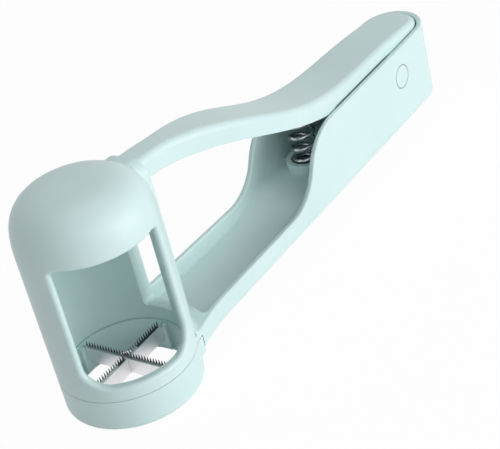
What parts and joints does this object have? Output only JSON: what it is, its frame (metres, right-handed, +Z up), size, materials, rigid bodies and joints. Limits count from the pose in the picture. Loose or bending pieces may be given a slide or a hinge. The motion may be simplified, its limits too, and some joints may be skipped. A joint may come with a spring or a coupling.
{
  "type": "grape cutter",
  "caption": "Hand squeeze cutter whose sprung lever drives a pusher down a round windowed chamber onto crossed serrated blades.",
  "frame": {"origin": "centre of the blade ring's bottom face, where the cut pieces leave", "axes": "+Z up the head's axis, +X from the head along the handle to the pivot end"},
  "size_m": [0.1672, 0.036, 0.0604],
  "materials": {
    "body_plastic": "satin moulded",
    "lever_plastic": "satin moulded",
    "pusher_plastic": "satin moulded",
    "cap_plastic": "satin moulded",
    "ring_plastic": "satin moulded",
    "clamp_plastic": "satin moulded",
    "blade_steel": "brushed, serrated edge",
    "spring_steel": "dark drawn wire",
    "pin_steel": "ground"
  },
  "bodies": {
    "housing": {"housing": "body_plastic", "pivot_pin": "pin_steel", "pin_cap_left": "cap_plastic", "pin_cap_right": "cap_plastic", "return_spring": "spring_steel"},
    "lever": {"lever": "lever_plastic", "link_pin": "pin_steel"},
    "pusher": {"pusher": "pusher_plastic"},
    "blade_ring": {"blade_ring": "ring_plastic", "clamp_ring": "clamp_plastic", "blade_long": "blade_steel", "blade_cross": "blade_steel"}
  },
  "joints": [
    {"name": "lever_hinge", "type": "hinge", "parent": "housing", "child": "lever", "pos_m": [0.1269, 0, 0.0196], "axis": [0, -1, 0], "range_deg": [0, 17.22], "stiffness_Nm_per_rad": 1.2, "springref_deg": -6.88, "deforming": ["return_spring"]},
    {"name": "pusher_slide", "type": "slide", "parent": "housing", "child": "pusher", "axis": [0, 0, -1], "range_m": [0, 0.0363]},
    {"name": "ring_slide", "type": "slide", "parent": "housing", "child": "blade_ring", "axis": [0, 0, -1], "range_m": [0, 0.02]}
  ],
  "couplings": [
    {"joint": "pusher_slide", "follows": "lever_hinge", "m_per_rad": 0.12041}
  ]
}
